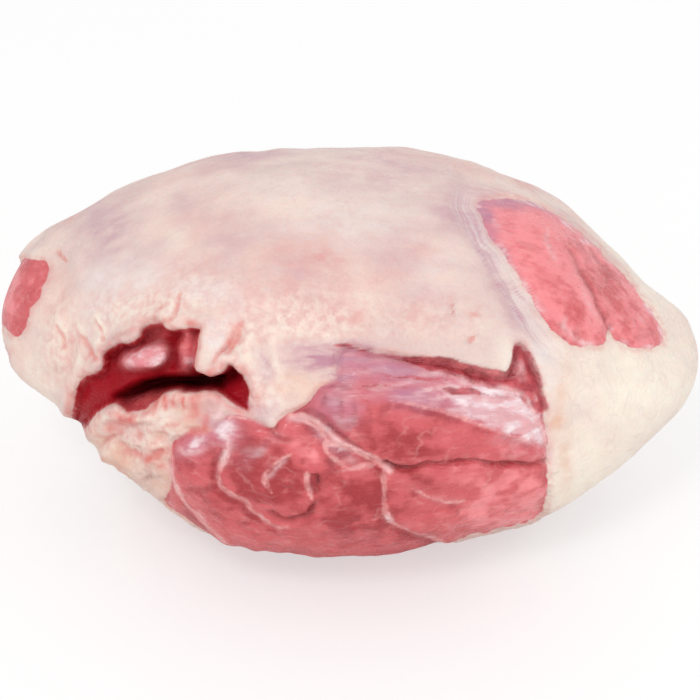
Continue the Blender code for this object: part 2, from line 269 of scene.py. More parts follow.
def profile(at, sizes):
    """A smooth cubic curve through the sizes at the stations, in metres."""
    stations, sizes = np.array(STATIONS), np.array(sizes) * MM
    slopes = np.gradient(sizes, stations)
    left = np.clip(np.searchsorted(stations, at) - 1, 0, len(stations) - 2)
    gap = stations[left + 1] - stations[left]
    share = (at - stations[left]) / gap
    rise = share * share * (3 - 2 * share)
    return (
        sizes[left] * (1 - rise)
        + sizes[left + 1] * rise
        + slopes[left] * gap * share * (1 - share) ** 2
        - slopes[left + 1] * gap * share * share * (1 - share)
    )


def rounded(line, closed, steps=4):
    """A smooth Catmull-Rom line through the points, with a few straight steps between each two."""
    points = np.array(line, float)
    if closed:
        ring = np.concatenate([points[-1:], points, points[:2]])
    else:
        ring = np.concatenate([2 * points[:1] - points[1:2], points, 2 * points[-1:] - points[-2:-1]])
    share = (np.arange(steps) / steps)[None, :, None]
    a, b, c, d = (ring[i : len(ring) - 3 + i, None, :] for i in range(4))
    curve = b + 0.5 * share * (c - a + share * (2 * a - 5 * b + 4 * c - d + share * (3 * (b - c) + d - a)))
    curve = curve.reshape(-1, 2)
    return np.concatenate([curve, curve[:1] if closed else points[-1:]])


def reach(spots, line, closed=False, far=16.0):
    """Each card spot's distance from a line, which side it is on, and how far along the nearest place is.

    Only spots within `far` millimetres of the line's box are measured, and the others get `far`.
    """
    points = rounded(line, closed)
    near = np.all((spots > points.min(axis=0) - far) & (spots < points.max(axis=0) + far), axis=1)
    close = spots[near]
    best, side, along = (np.full(len(close), v) for v in (far, 1.0, 0.0))
    inside = np.zeros(len(close), bool)
    for number, (start, end) in enumerate(zip(points[:-1], points[1:])):
        run, away = end - start, close - start
        share = np.clip(away @ run / max(run @ run, 1e-9), 0, 1)
        gap = np.linalg.norm(away - share[:, None] * run, axis=1)
        better = gap < best
        best = np.where(better, gap, best)
        side = np.where(better, np.sign(run[0] * away[:, 1] - run[1] * away[:, 0]), side)
        along = np.where(better, (number + share) / (len(points) - 1), along)
        if closed and start[1] != end[1]:
            spans = (start[1] > close[:, 1]) != (end[1] > close[:, 1])
            crossing = start[0] + (close[:, 1] - start[1]) / run[1] * run[0]
            inside ^= spans & (close[:, 0] < crossing)
    if closed:
        best = np.where(inside, best, -best)
    found = [np.full(len(spots), v) for v in (-far if closed else far, 1.0, 0.0)]
    for whole, part in zip(found, (best, side, along)):
        whole[near] = part
    return found


TABLE = np.random.default_rng(11)
SHUFFLE = TABLE.permutation(256)
SLOPES = TABLE.normal(size=(256, 3))
SLOPES /= np.linalg.norm(SLOPES, axis=1, keepdims=True)


def noise(points, size, shift=0.0):
    """Gradient noise of about -1 to 1, whose lumps are `size` across.

    Each corner of a lattice cell has a random slope, and the eight slopes are blended by the share
    6 t^5 - 15 t^4 + 10 t^3 along each axis.
    """
    where = points / size + shift
    cell = np.floor(where).astype(int)
    part = where - cell
    ease = part**3 * (part * (part * 6 - 15) + 10)
    total = np.zeros(len(points))
    for corner in np.ndindex(2, 2, 2):
        at = cell + corner
        pick = SHUFFLE[(SHUFFLE[(SHUFFLE[at[:, 0] & 255] + at[:, 1]) & 255] + at[:, 2]) & 255]
        share = np.prod(np.where(corner, ease, 1 - ease), axis=1)
        total += share * np.sum(SLOPES[pick] * (part - corner), axis=1)
    return 1.6 * total


def card_noise(spots, size, shift=0.0):
    """The same noise on the card, with sizes in millimetres."""
    return noise(np.column_stack([spots, np.zeros(len(spots))]), size, shift)


def blob(spots, x, y, half_width, half_height, turn=0.0):
    """1 at a place on the card, falling off as a bell over an oval turned by `turn` degrees."""
    cosine, sine = np.cos(np.radians(turn)), np.sin(np.radians(turn))
    right, up = spots[:, 0] - x, spots[:, 1] - y
    along, across = right * cosine + up * sine, up * cosine - right * sine
    return np.exp(-((along / half_width) ** 2) - (across / half_height) ** 2)


# ---------------------------------------------------------------- the ball and the plain body

# Where the ball's cells are drawn together: a direction from the middle, how strongly, how widely
CELL_LENSES = (((0.0, -0.95, 0.22), 0.40, 0.75), ((-0.48, -0.75, 0.46), 0.42, 0.42))


def ball(cells):
    """A cube's six square grids blown up into a ball.

    On each side a point is (1, tan u, tan v) for u and v from -45 to 45 degrees, scaled to length 1.
    Each lens then moves points a bell-shaped share of the way to its middle. Shared edges are welded.
    """
    run = np.tan(np.linspace(-1, 1, cells + 1) * np.pi / 4)
    u, v = np.meshgrid(run, run, indexing="ij")
    one = np.ones_like(u)
    sides = [(one, u, v), (-one, v, u), (v, one, u), (u, -one, v), (u, v, one), (v, u, -one)]
    points = np.concatenate([np.stack(side, axis=-1).reshape(-1, 3) for side in sides])
    points /= np.linalg.norm(points, axis=1, keepdims=True)
    for direction, pull, width in CELL_LENSES:
        middle = np.array(direction) / np.linalg.norm(direction)
        away = np.linalg.norm(points - middle, axis=1, keepdims=True)
        points += pull * hump(away, width) * (middle - points)
        points /= np.linalg.norm(points, axis=1, keepdims=True)
    corner = np.arange((cells + 1) ** 2).reshape(cells + 1, cells + 1)
    quad = np.stack([corner[:-1, :-1], corner[1:, :-1], corner[1:, 1:], corner[:-1, 1:]], axis=-1)
    quads = np.concatenate([quad.reshape(-1, 4) + side * (cells + 1) ** 2 for side in range(6)])
    _, first, index = np.unique(np.round(points, 6), axis=0, return_index=True, return_inverse=True)
    return points[first], index.reshape(-1)[quads]


def plain_body(points):
    """The ball stretched to the leg's sections, and the way out of the skin at each point."""
    at = points[:, 0]
    wide = np.where(points[:, 1] < 0, profile(at, BEFORE), profile(at, BEHIND))
    tall = np.where(points[:, 2] > 0, profile(at, ABOVE), profile(at, BELOW))
    sway, height = profile(at, SPINE_SWAY), profile(at, SPINE_HEIGHT)
    places = np.stack([HALF_LENGTH * at, sway + points[:, 1] * wide, height + points[:, 2] * tall], axis=1)
    out = np.stack([at / HALF_LENGTH, points[:, 1] / wide, points[:, 2] / tall], axis=1)
    return places, out / np.linalg.norm(out, axis=1, keepdims=True)


def on_card(places):
    """Where each place falls on the card, in millimetres."""
    line = places - EYE
    stretch = EYE_DISTANCE / (line @ SIGHT)
    return np.stack([line[:, 0] * stretch, (line @ CARD_UP) * stretch], axis=1) / MM


def front_share(places, out):
    """1 where the skin faces the card's viewing point, 0 where it is turned away."""
    line = EYE - places
    return eased(np.sum(out * line, axis=1) / np.linalg.norm(line, axis=1), -0.10, 0.06)


# ---------------------------------------------------------------- the skin's relief and its marks

FAT = 2.2  # how far the fat stands above the bare muscle, in millimetres
THIN_FAT = 0.5  # the same round the window and the shank's cut, where it was trimmed away
MOUTH_DEPTH = 10.0
SLIT_DEPTH = 24.0
POCKET_SLOPE = np.radians(30.0)
INTO_POCKET = np.array([0.0, np.cos(POCKET_SLOPE), -np.sin(POCKET_SLOPE)])


def measured(places, out):
    """Everything that the relief and the finish both need to know about each point of the skin."""
    flat = on_card(places)
    wobble = [0.8 * card_noise(flat, 6.0, s) + 0.35 * card_noise(flat, 2.4, s + 9) for s in (3.1, 7.7)]
    spots = flat + np.stack(wobble, axis=1)
    at = {"flat": flat, "spots": spots, "lines": 0.6 * flat + 0.4 * spots}
    at.update(front=front_share(places, out), places=places)
    for name, line in (("bare", BARE_MUSCLE), ("window", WINDOW), ("shank", SHANK_CUT), ("mouth", POCKET_MOUTH)):
        at[name] = reach(spots, line, closed=True)[0]
    at["silver"] = reach(spots, SILVERSKIN, closed=True)[0]
    at["wedge"] = reach(spots, RED_WEDGE, closed=True)[0]
    at["slit"], at["slit_side"], _ = reach(at["lines"], POCKET_SLIT)
    at["crack"], at["crack_side"], _ = reach(spots, CRACK)
    at["crescent"] = reach(spots, CRESCENT)[0]
    hollow = np.linalg.norm((places - (-0.005, -0.01, 0.0)) / (0.075, 0.055, 0.030), axis=1)
    hollow += 0.16 * noise(places, 0.035, 2.6) + 0.07 * noise(places, 0.012, 4.9)
    end = np.linalg.norm((places - (-0.116, 0.002, 0.066)) / (0.016, 0.030, 0.017), axis=1)
    belly = np.clip(np.maximum(42 - 42 * hollow, 17 - 17 * end), -16, 16)
    showing = np.maximum.reduce([at["bare"], at["window"], at["shank"]])
    at["lean"] = at["front"] * showing + (1 - at["front"]) * belly
    at["soft"] = at["front"] * patches(spots, SOFT_PLACES)
    return at


def muscle_relief(at):
    """The height of the muscles' swell, in millimetres: cushions parted by valleys along each seam."""
    spots, lines = at["spots"], at["lines"]
    crack, upper = at["crack"], at["crack_side"] > 0
    height = 1.8 * (1 - np.exp(-np.maximum(at["bare"], 0) / 5))
    height += np.where(upper, 3.4, 1.2) * (1 - np.exp(-crack / 5)) * hump(crack, 16) - 2.4 * hump(crack, 1.1)
    height += 0.9 * card_noise(spots, 11.0, 5.7) + 0.45 * card_noise(spots, 4.5, 2.9)
    line, shade = np.full(len(spots), -16.0), np.zeros(len(spots))
    for route, half_width, valley, lift in SEAMS:
        gap, side, along = reach(lines, route)
        ends = eased(along, 0, 0.08) * eased(1 - along, 0, 0.12)
        soft = np.sqrt(gap**2 + 0.2)
        height -= valley * ends * np.exp(-soft / 3.2) - 0.45 * ends * hump(gap, half_width + 0.3)
        height += lift * ends * side * (1 - hump(gap, 0.7)) * np.exp(-gap / 5)
        lower = hump(gap + side * np.sign(lift) * 1.2 - half_width, 1.1) * (side * np.sign(lift) < 0)
        shade = np.maximum(shade, ends * lower)
        uneven = 1 + 0.55 * card_noise(at["flat"], 5.0, 12.5)
        line = np.maximum(line, half_width * uneven * (0.35 + 0.65 * ends) - gap)
    height -= 1.8 * hump(at["crescent"], 1.1)
    at["seam"], at["shade"] = line, shade
    return height


def relief(at):
    """The height of the whole skin over the plain body, in millimetres."""
    spots, front, places, lean = at["spots"], at["front"], at["places"], at["lean"]
    fat = eased(-lean / (1 + 1.6 * at["soft"]), -0.4, 1.3)
    trimmed = front * eased(np.maximum(at["window"], at["shank"]), -11, -5)
    trimmed = np.maximum(trimmed, front * patches(spots, THIN_PATCHES))
    height = fat * (FAT * (1 - trimmed) + THIN_FAT * trimmed)
    height += 2.2 * hump(np.linalg.norm(places - (-0.117, 0.0, 0.064), axis=1), 0.026)
    height += 1.5 * noise(places, 0.055) + 1.0 * noise(places, 0.026, 3.7) + 0.35 * noise(places, 0.011, 5.1)
    at["grainy"] = front * patches(spots, PATCHES["grainy"])
    height += fat * (0.14 + 0.2 * at["grainy"]) * noise(places, 0.0046, 8.3)
    at["folds"] = card_noise(spots * (1.0, 0.55), 4.4, 6.4) + 0.55 * card_noise(spots * (1.0, 0.7), 2.3, 7.9)
    height += fat * at["grainy"] * 0.75 * at["folds"]
    height += front * sum(strength * blob(at["flat"], *oval) for *oval, strength in SWELLS)
    at["ridge"] = np.zeros(len(spots))
    for route, half_width, rise in RIDGES:
        gap, _, along = reach(spots, route)
        ridge = hump(gap, half_width) * eased(along, 0, 0.2) * eased(1 - along, 0, 0.2)
        height += front * fat * rise * (ridge - 0.4 * hump(gap, 2.6 * half_width))
        at["ridge"] = np.maximum(at["ridge"], front * ridge)
    height += (1 - front) * (1.6 * noise(places, 0.06, 9.4) - 2.4 * hump((places[:, 2] - 0.055 - 0.15 * places[:, 0]) / MM, 7.0))
    bare = front * eased(at["bare"], -0.5, 1.5)
    height += bare * muscle_relief(at)
    at["seam"] = np.where(bare > 0.3, at["seam"], -16)
    height += front * 0.9 * (1 - np.exp(-np.maximum(at["window"], 0) / 4))
    crease = np.zeros(len(spots))
    for route, depth in CREASES:
        gap, _, along = reach(spots, route)
        crease = np.maximum(crease, depth * hump(gap, 0.75) * eased(along, 0, 0.2) * eased(1 - along, 0, 0.2))
    height -= front * crease
    at["crease"] = front * crease
    nick = np.full(len(spots), -16.0)
    for route, half_width in NICKS:
        nick = np.maximum(nick, half_width - reach(spots, route)[0])
    height -= front * 0.9 * eased(nick, -1.2, 0.6)
    at["nick"] = np.where(front > 0.5, nick, -16)
    strip = np.full(len(spots), -16.0)
    for route, half_width in RED_STRIPS:
        gap, _, along = reach(spots, route)
        ends = np.sqrt(np.clip(4 * along * (1 - along), 0, 1))
        strip = np.maximum(strip, half_width * ends - gap)
    strip = np.maximum(strip, at["wedge"])
    height -= front * 0.7 * eased(strip, -0.4, 1.0)
    at["strip"] = np.where(front > 0.5, strip, -16)
    # The groove under the fat's edge, which marks() also darkens with painted shade
    at["under_fat"] = front * hump(at["bare"] - 0.9, 0.9) * eased(spots[:, 1], -14, -6) * eased(spots[:, 0], 0, 16)
    height -= 1.5 * at["under_fat"]
    lip = front * blob(spots, -72, -32, 22, 12)
    height += lip * (1.5 * card_noise(spots, 7.0, 2.2) + 0.7 * at["folds"])
    at["lip"] = lip
    height += front * 1.5 * hump(at["mouth"] + 2.2, 2.0)
    return height


def oval_lump(spots, x, y, half_width, half_height, turn=0.0):
    """A flat-topped lump on the card: e to the minus fourth power of the distance over its half sizes."""
    return np.exp(-np.log(np.maximum(blob(spots, x, y, half_width, half_height, turn), 1e-9)) ** 2)


def pocket(at):
    """How far each point is pushed into the pocket, in millimetres: a mouth, with a slit along its middle.

    Two lobes of meat hang into the mouth from its upper lip, a ledge lies under the slit, and a torn
    face slopes in at the right end.
    """
    spots = at["lines"]
    above = at["slit_side"] > 0
    slit = hump(at["slit"], np.where(above, 1.8, 2.8)) * eased(spots[:, 0], -88, -66)
    lobe = oval_lump(spots, -71.8, -3.4, 7.6, 4.2, 8) + oval_lump(spots, -66.0, -1.6, 4.8, 4.6, 30)
    lobe = np.minimum(lobe, 1)
    curtain = oval_lump(spots, -55.8, -0.8, 3.4, 7.4, -4)
    ledge = oval_lump(spots, -72, -18.2, 9.0, 2.8, 14)
    left = oval_lump(spots, -86, -15, 5.0, 6.0)
    at["lobe"], at["curtain"], at["ledge"] = lobe, curtain, ledge
    depth = MOUTH_DEPTH + SLIT_DEPTH * slit - 9.0 * lobe - 7.0 * curtain - 5.5 * ledge - 3.0 * left
    depth += 1.4 * card_noise(spots, 4.0, 1.3)
    facet = eased(spots[:, 0], -45.5, -42)
    torn_face = 2 + 9 * slit + 0.5 * np.maximum(spots[:, 1] + 20, 0)
    depth = depth * (1 - facet) + facet * torn_face
    depth *= 0.55 + 0.45 * eased(spots[:, 0], -95, -80)
    return at["front"] * eased(at["mouth"], -0.3, 2.2) * np.maximum(depth, 0)


# Where the skin stands a little higher: x, y, half width, half height and turn of each oval, and its height
SWELLS = (
    (20, 72, 11, 7, 0, 2.4), (-24, 71, 4.5, 4, 0, 1.4), (-60, -58, 12, 9, -35, -2.0), (-86, -36, 6, 6, 0, 3.0),
    (-45, -2, 4, 8, 12, 1.2), (-60, 14, 16, 5, 0, 0.8), (-28, -12, 8, 9, 0, 0.6), (92, 20, 8, 26, 35, -0.8),
)
# Where the fat thins out over the meat instead of ending at a step
SOFT_PLACES = ((-50, -25, 9, 6, 20, 1.0), (-62, -40, 5, 12, 10, 0.6), (-3, -6, 7, 9, 0, 1.0), (-32, -23, 8, 4, 0, 0.7))
# Where the fat is only a thin film over the meat
THIN_PATCHES = ((-38, -17, 13, 10, 0, 0.85), (-8, -8, 14, 5, 0, 0.9), (-63, -44, 5, 14, 10, 0.7), (60, -66, 22, 4, 20, 0.8))

# Patches of colour: x, y, half width, half height and turn of each oval on the card, and its strength
PATCHES = {
    "lilac": (
        (-82, 38, 10, 13, 20, 1.0), (-57, 49, 5, 6, 0, 0.7), (-36, 64, 22, 5, 10, 0.8), (8, 60, 20, 8, 0, 0.75),
        (34, 46, 11, 8, -20, 0.95), (14, 55, 4, 3, 0, 0.5), (45, 36, 5, 14, 25, 0.8), (55, 14, 4, 16, 30, 0.9),
        (-40, 34, 12, 12, 0, 0.45), (20, 16, 8, 8, 0, 0.5), (17, 31, 13, 9, 0, 0.5), (62, 4, 6, 7, 0, 0.4),
        (-17, 23, 20, 10, 0, 0.5), (-51, 25, 12, 9, 0, 0.4), (32, 11, 17, 8, 0, 0.45), (-16, -1, 12, 3, 4, 0.6),
    ),
    "pink": (
        (-16, 26, 22, 14, -8, 1.0), (-34, 14, 14, 9, 0, 0.9), (-8, 30, 7, 5, -20, 0.6), (-8, 10, 16, 10, 0, 0.8),
        (12, 26, 12, 12, 0, 0.7), (28, 13, 14, 10, 0, 0.7), (-52, 27, 12, 7, 0, 0.9), (18, 32, 14, 8, 0, 0.7),
        (-46, -19, 4, 5, 0, 0.9), (-79, -38, 9, 6, 0, 0.8), (-33, -15, 5, 6, 0, 0.5), (-26, 2, 8, 8, 0, 0.5), (-66, 20, 26, 5, 10, 0.55), (-98, 18, 8, 12, 0, 0.7), (-50, 42, 16, 10, 0, 0.6),
        (-48, 62, 26, 4, 18, 0.6), (-88, 52, 12, 3, 36, 0.7), (-97, -2, 7, 10, 0, 0.5), (-70, -36, 18, 12, 0, 0.6),
        (-52, -20, 5, 8, 0, 0.7), (-34, 0, 6, 10, 0, 0.4), (36, 62, 22, 3, -12, 0.6), (-33, -10, 6, 8, 0, 0.5),
        (84, 44, 18, 3, -42, 0.5), (-112, -4, 6, 10, 0, 0.4), (0, 0, 20, 3, 0, 0.3),
    ),
    "white": (
        # The long patch at (-52, 19) over the pocket's upper lip is partly white fat and partly a painted highlight
        (-52, 19, 14, 4, -8, 0.9), (-78, 22, 15, 8, 12, 0.8), (0, 42, 22, 9, 0, 0.5), (30, 26, 12, 12, 0, 0.25),
        (-39, 12, 4, 8, 0, 0.7), (66, -4, 6, 14, 12, 0.6), (58, 22, 3, 18, 30, 0.5), (-27, -13, 3.5, 8, 14, 0.9),
        (-45, 2, 3.5, 8, 14, 0.6), (-24, 52, 12, 4, 0, 0.4), (-36, -13, 5, 5, 0, 0.6),
    ),
    "cream": (
        (100, -14, 30, 20, 0, 1.0), (84, -42, 24, 24, 30, 1.0), (36, 10, 13, 10, 0, 0.5), (-4, 6, 10, 6, 0, 0.35),
        (-58, 38, 6, 14, 8, 0.5), (-84, -34, 12, 10, 0, 0.5), (104, 24, 14, 16, 0, 0.8), (-108, -8, 12, 14, 0, 0.6),
        (-56, -28, 6, 5, 0, 0.6), (-94, 10, 7, 8, 0, 0.4), (50, 62, 16, 4, -20, 0.5), (54, -2, 6, 10, 0, 0.5),
        (-74, -50, 10, 8, 0, 0.4),
    ),
    "tan": (
        (-72, -43, 10, 5, -35, 0.5), (-50, -18, 3, 3, 0, 0.4), (-94, -24, 3, 5, 0, 0.5),
        (70.5, -22, 2.5, 14, -14, 0.9), (73, -34, 2.5, 12, 0, 0.6), (-18, -12, 11, 4.5, 10, 0.6), (-13, -15, 6, 3, 30, 0.5), (-64, -42, 4, 13, 10, 0.6),
        (-54, -24, 5, 5, 0, 0.45), (60, -65, 20, 2.5, 20, 0.4), (-79, -39, 9, 5, -40, 0.8), (-88, -30, 5, 6, 0, 0.5),
        (-68, -44, 6, 4, -30, 0.7), (-58, -22, 3, 5, 0, 0.5), (-22, -9, 5, 3, 0, 0.5),
    ),
    "blush": (
        (-75, -24.8, 7, 2.2, 12, 0.9), (-61, -17.4, 9, 2.2, 0, 0.7), (-53.4, -20, 4, 5, 0, 0.7), (-67, -36.5, 3.5, 2.2, -30, 0.9),
        (-65.4, -39.6, 4, 1.2, 10, 0.7), (-83.3, -28.2, 4, 2, 0, 0.5), (-49, -31, 3, 6, 0, 0.7), (-40.4, 2, 1.4, 6, -20, 0.6),
        (-47.5, -7.4, 5, 1.8, 0, 0.9), (-94.5, -12, 2, 3, 0, 0.5), (-90, 2, 1.4, 5, 30, 0.5), (-8.6, 29.3, 6, 4, -30, 0.4),
        (34.4, 15.5, 1.5, 2.4, 0, 0.5), (42.4, 12, 1.6, 2.4, 0, 0.6), (-24, 71, 4, 2, 0, 0.8), (-81, 55, 5, 1.5, 30, 0.6),
        (58.5, 57, 7, 1.4, -28, 0.7), (-116, -1, 3, 4, 0, 0.4), (-71, 9.5, 6, 1.5, 10, 0.4), (-88, -5, 4, 1.6, 30, 0.5),
        (-80, -40, 5, 1.5, 40, 0.4), (-57, -34, 3, 5, 0, 0.35), (-95, 42, 6, 1.2, 40, 0.5),
    ),
    "grainy": (
        (-16, 10, 26, 9, 0, 0.9), (-66, 14, 28, 7, 6, 0.8), (-98, 2, 8, 16, 0, 0.8), (-36, 2, 8, 12, 0, 0.9),
        (-68, -32, 22, 16, 0, 0.9), (-30, -14, 8, 10, 0, 0.8), (20, 10, 24, 7, 0, 0.5), (-52, 22, 10, 6, 0, 0.6),
    ),
    "veil": (
        (-10, -3, 10, 4, 4, 1.4), (2, -3, 8, 5, 0, 1.3), (-3, -9, 7, 3.5, 0, 0.9), (10, -6, 14, 3.4, -8, 0.75), (-47, -24.5, 4, 4, 0, 0.6),
        (-30, -21, 4, 4, 0, 0.35), (-5, -17, 7, 6, 0, 0.35),
        (-47, -20, 3.5, 4.5, 0, 0.6), (56, 4, 2, 5, 20, 0.4), (40, 44, 5, 9, 20, 0.45), (-37, -19, 5, 3, 0, 0.4),
        (50, 24, 3, 12, 30, 0.45), (48, 54, 10, 2, -8, 0.5), (-28, -8, 3, 6, 0, 0.35), (-40, -14, 2.5, 4, 0, 0.3),
    ),
    "plum": (
        (46.8, 44, 3.4, 10, 16, 1.3), (51.5, 33.5, 2.2, 7, 30, 1.0), (57, 50, 14, 2.4, -2, 1.1), (66, 49, 12, 2.2, -16, 0.8), (-8, -2, 16, 6, 0, 0.85),
        (14, -7, 16, 5, -6, 1.1), (-6, -18, 9, 8, 0, 0.75), (22, -16, 14, 4, -6, 0.9), (38, -19, 12, 4, -14, 0.6),
        (-42, -27, 7, 6, 0, 0.35), (-53, -31, 6, 5, 0, 0.35),
    ),
}
# Tones of the lean meat, where 0.5 is plain, less is darker and more is paler: partly the meat's own darker and paler
# patches, partly painted shade and painted light on the muscle bundles and in their creases
TONE_PATCHES = (
    (2, -50, 15, 9, 0, -0.30), (-30, -47, 10, 5, -30, -0.14), (-24, -38, 8, 6, 0, -0.10), (17, -31, 12, 8, 0, -0.22), (52, -54, 12, 7, 0, 0.26), (34, -56, 12, 5, 0, 0.12),
    (-22, -42, 9, 6, 0, -0.30), (-36, -41, 6, 8, 0, -0.22), (2, -58, 12, 6, 0, -0.12), (60, -50, 9, 10, 0, 0.14),
    (-4, -23, 8, 9, 0, -0.30), (18, -30, 12, 6, 0, -0.24), (50, -30, 16, 8, -15, 0.08), (48, -50, 22, 12, 0, 0.16),
    (20, -64, 14, 4, 14, -0.24), (-30, -38, 14, 9, 0, -0.26), (-20, -52, 11, 5, 0, -0.12), (60, -10, 6, 9, 0, -0.22),
    (34, -7, 18, 3, -10, -0.16), (0, -52, 12, 10, 0, -0.18), (-54, -38, 6, 5, 0, -0.05), (-11, -43, 2.5, 4, 0, -0.35),
    (-12.5, -36, 5, 3, 0, 0.42), (-20, -33, 6, 2.5, 30, 0.2), (-44, -51, 16, 4, -35, -0.2), (-53, -39, 6, 5, 0, -0.04), (-36, -33, 7, 5, 0, -0.1), (-56, -53, 12, 3, -40, 0.12),
    (-20, -62, 30, 4, 0, 0.06), (26, -43, 10, 3, 0, -0.16), (56, -60, 10, 4, 30, 0.2), (-16, -57, 8, 3, 0, 0.12),
    (88, 22, 6, 20, 30, -0.22), (76, 12, 5, 9, 30, -0.14), (66, 44, 10, 5, -10, 0.1),
)
# How strongly each patch shows where the skin is turned away from the front
BEHIND_SHARE = {
    "lilac": 0.5, "pink": 0.6, "white": 0.6, "cream": 0.8, "tan": 0.3, "blush": 0.35, "grainy": 0.6, "veil": 0.2, "plum": 0.4,
}
# White spots on the lean: x, y, half width, half height and turn of each oval, and its strength; partly white film,
# partly painted highlights on the wet meat
FILM_AND_GLINT_SPOTS = (
    (-42.5, -27.5, 4.2, 4.2, 20, 1.0), (-52.5, -31.5, 5, 2.6, 30, 0.85), (-43.5, -21, 4, 2.2, 30, 0.6),
    (-47, -20.5, 4, 1.6, 50, 0.6), (-30, -33, 8, 1.6, 35, 0.35), (-6, -32, 9, 2.0, -36, 0.7),
    (60, -25, 9, 8, -25, 0.7), (-16, -24, 6, 1.6, -20, 0.6), (-35, -36, 4, 3, 30, 0.25),
    (-2, -36, 4, 2, 0, 0.35),
)


def patches(spots, ovals):
    """The strongest of several soft ovals at each spot."""
    return np.max([strength * blob(spots, *oval) for *oval, strength in ovals], axis=0)


def brushed(spots, strokes):
    """The strongest of several strokes at each spot, each a bell across its route that fades at both ends."""
    found = np.zeros(len(spots))
    for route, half_width, strength in strokes:
        gap, _, along = reach(spots, route)
        found = np.maximum(found, strength * hump(gap, half_width) * np.sqrt(np.clip(4.5 * along * (1 - along), 0, 1)))
    return found


def marks(at):
    """The numbers between 0 and 1, and the distances in millimetres, that the finish reads at each point."""
    spots, flat, front, places = at["spots"], at["flat"], at["front"], at["places"]
    ragged = 0.35 * card_noise(flat, 9.0, 4.4) + 0.25 * card_noise(flat, 4.0, 1.9)
    bare, inside = eased(at["bare"], -0.5, 0.5), eased(at["mouth"], 0.0, 1.2)
    shown = {}
    for number, (name, ovals) in enumerate(PATCHES.items()):
        here = patches(spots, ovals) * (1 + ragged)
        there = BEHIND_SHARE[name] * eased(noise(places, 0.045, 1.0 + number), 0.0, 0.6)
        if name == "cream":
            there = np.maximum(there, 0.9 * eased(places[:, 0], 0.055, 0.095))
        shown[name] = np.clip(front * here + (1 - front) * there, 0, 1)
    cut_edge = 0.45 * hump(at["lean"] + 0.6, 1.0) + 0.7 * front * hump(at["mouth"] + 0.7, 1.4) * (1 + 0.6 * card_noise(flat, 3.5, 9.1))
    shown["blush"] = np.maximum(shown["blush"], np.clip(cut_edge, 0, 1))
    shown["veil"] *= 1 - inside
    # Pink in the valleys between the folds of fat is painted shade
    valleys = at["grainy"] * eased(-at["folds"], 0.1, 0.7) * (1 - at["ridge"])
    fibres = eased(card_noise(flat * (1.0, 0.25), 1.7, 3.8), -0.1, 0.5) * front * hump(at["mouth"] + 1.2, 2.6)
    fibres *= eased(-spots[:, 1], 12, 15)
    shown["blush"] = np.maximum.reduce([shown["blush"], (0.5 + 0.3 * at["lip"]) * valleys, 0.85 * fibres])
    shown["cream"] = np.maximum.reduce([shown["cream"], 0.6 * at["grainy"] * eased(at["folds"], 0.1, 0.6), 0.8 * at["ridge"]])
    for name, strokes in STROKES.items():
        uneven = 1 + 0.5 * card_noise(flat, 3.0, 14.0)
        shown[name] = np.clip(front * uneven * brushed(at["lines"], strokes), 0, 1)
    tone = sum(strength * blob(spots, *oval) for *oval, strength in TONE_PATCHES) * (1 + 1.6 * ragged)
    tone = 0.5 + front * (tone - 0.3 * at["shade"] * bare)
    # The meat in the window and at the shank's cut is made paler; in the window this is painted light from above
    pale = eased(np.maximum(at["window"], at["shank"] - 4), -0.5, 0.5)
    tone += pale * (0.42 - 0.2 * eased(at["shank"], -1, 0))
    torn = np.maximum.reduce([at["lobe"], 0.7 * at["curtain"], 0.7 * at["ledge"]])
    shown["tone"] = np.clip(tone + front * inside * (0.5 * at["lobe"] + 0.15 * at["curtain"]), 0, 1)
    across = spots * (0.25, 1.0)
    silver = eased(at["silver"], -0.8, 2.0) * (0.24 + 0.92 * eased(spots[:, 0], 18, 52) + 0.35 * card_noise(across, 2.2, 6.0))
    silver *= 1 - 0.9 * eased(at["wedge"], -0.6, 0.6)
    # The white spots add white film and painted highlights
    film = np.maximum(silver, patches(spots, FILM_AND_GLINT_SPOTS) * (1 + ragged)) * bare
    veil = eased(hump(at["window"] - 0.4, 1.4) * (0.6 + card_noise(flat, 5.0, 8.8)), 0.35, 0.9)
    shown["film"] = np.clip(front * np.maximum(film, 0.6 * veil), 0, 1) * (1 - inside) + front * inside * np.clip(
        0.75 * at["lobe"] * (0.75 + 0.5 * card_noise(flat, 4.0, 5.2)) + 0.6 * blob(spots, -54.6, -4.6, 2.6, 3, 0), 0, 1)
    skin_above = oval_lump(spots, -67, 6.5, 6.5, 3.6, 14) + oval_lump(spots, -54.5, 1.5, 3.6, 5.5, 0)
    # Inside the pocket the meat turns deep red, partly its own wet colour and partly painted shade of the hollow; the
    # same mark lowers the specular level
    shown["wet_and_shade"] = front * inside * (1 - 0.9 * torn) * (1 - 0.6 * np.clip(skin_above, 0, 1))
    # Painted shade: the slit deep in the pocket, the groove under the fat's edge, the crack, the crescent and the
    # creases are darkened towards black red
    shown["painted_shade"] = front * np.clip(
        0.85 * inside * hump(at["slit"], np.where(at["slit_side"] > 0, 1.3, 1.7)) * eased(spots[:, 0], -84, -64)
        * (1 - 0.75 * eased(spots[:, 0], -47, -41))
        + 0.35 * at["under_fat"] + (0.75 - 0.45 * eased(spots[:, 0], 14, 34)) * hump(at["crack"], 0.75) * bare
        + 0.5 * hump(at["crescent"], 0.8) + 0.4 * at["crease"] * (bare + pale), 0, 1)
    shown["lean"] = np.maximum(at["lean"], np.where(front > 0.5, at["mouth"] - 0.3, -16))
    for name in ("seam", "nick", "strip", "window", "soft"):
        shown[name] = at[name]
    return shown


